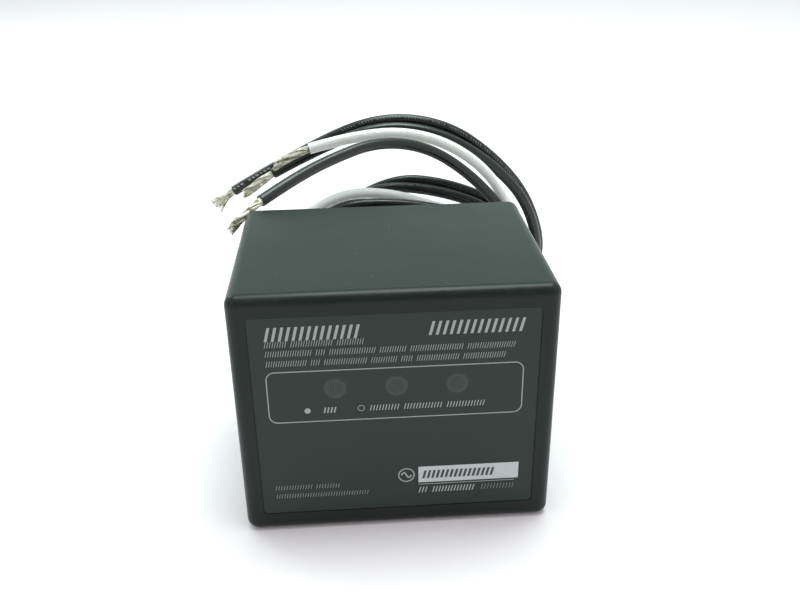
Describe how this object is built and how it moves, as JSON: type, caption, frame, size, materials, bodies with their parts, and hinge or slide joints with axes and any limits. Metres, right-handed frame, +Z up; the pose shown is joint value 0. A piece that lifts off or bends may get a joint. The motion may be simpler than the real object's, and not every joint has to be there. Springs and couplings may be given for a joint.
{
  "type": "whole house surge protector",
  "caption": "Moulded case with label, status windows and a threaded nipple on its back that carries a washer, a locknut and flexible leads with stripped ends.",
  "frame": {"origin": "middle of the footprint of the case and nipple together, on the standing surface", "axes": "+Z up, +Y from the front label to the nipple, +X to the right of the label"},
  "size_m": [0.1188, 0.1138, 0.0782],
  "materials": {
    "case_plastic": "satin moulded, dark grey green",
    "label_film": "satin printed film",
    "gasket_rubber": "matt",
    "screw_steel": "zinc plated",
    "nipple_plastic": "satin moulded, black",
    "bushing_epoxy": "cast, slightly glossy",
    "locknut_steel": "zinc plated",
    "board_laminate": "solder mask",
    "window_plastic": "smoked, diffusing",
    "led_resin": "clear tinted",
    "varistor_coating": "dipped epoxy, blue",
    "cutoff_case": "tinned can",
    "resistor_body": "lacquered, tan",
    "white_insulation": "extruded, slightly glossy",
    "black_insulation": "extruded, slightly glossy",
    "tinned_copper": "tinned strands",
    "terminal_metal": "tinned brass"
  },
  "bodies": {
    "case": {"back_cover": "case_plastic", "board_screws": "screw_steel", "circuit_board": "board_laminate", "cover_gasket": "gasket_rubber", "cover_screws": "screw_steel", "front_label": "label_film", "housing": "case_plastic", "inner_nut": "nipple_plastic", "lead_bushing": "bushing_epoxy", "lead_l1": "black_insulation", "lead_l1_inner": "black_insulation", "lead_l1_strands": "tinned_copper", "lead_l2": "black_insulation", "lead_l2_inner": "black_insulation", "lead_l2_strands": "tinned_copper", "lead_l3": "black_insulation", "lead_l3_inner": "black_insulation", "lead_l3_strands": "tinned_copper", "lead_neutral": "white_insulation", "lead_neutral_inner": "white_insulation", "lead_neutral_strands": "tinned_copper", "led_l1": "led_resin", "led_l2": "led_resin", "led_l3": "led_resin", "nipple": "nipple_plastic", "nipple_gasket": "gasket_rubber", "resistor_l1": "resistor_body", "resistor_l2": "resistor_body", "resistor_l3": "resistor_body", "terminal_l1": "terminal_metal", "terminal_l2": "terminal_metal", "terminal_l3": "terminal_metal", "terminal_neutral": "terminal_metal", "terminal_screws": "screw_steel", "thermal_cutoff_l1": "cutoff_case", "thermal_cutoff_l2": "cutoff_case", "thermal_cutoff_l3": "cutoff_case", "varistor_l1": "varistor_coating", "varistor_l2": "varistor_coating", "varistor_l3": "varistor_coating", "window_l1": "window_plastic", "window_l2": "window_plastic", "window_l3": "window_plastic"},
    "washer": {"sealing_washer": "gasket_rubber"},
    "locknut": {"locknut": "locknut_steel"}
  },
  "joints": [
    {"name": "washer_slide", "type": "slide", "parent": "case", "child": "washer", "axis": [0, 1, 0], "range_m": [0, 0.0145]},
    {"name": "locknut_turn", "type": "hinge", "parent": "washer", "child": "locknut", "pos_m": [0, 0.02565, 0.03235], "axis": [0, 1, 0], "range_deg": [0, 2900]}
  ],
  "couplings": [
    {"joint": "locknut_turn", "follows": "washer_slide", "rad_per_m": 3463.2}
  ]
}
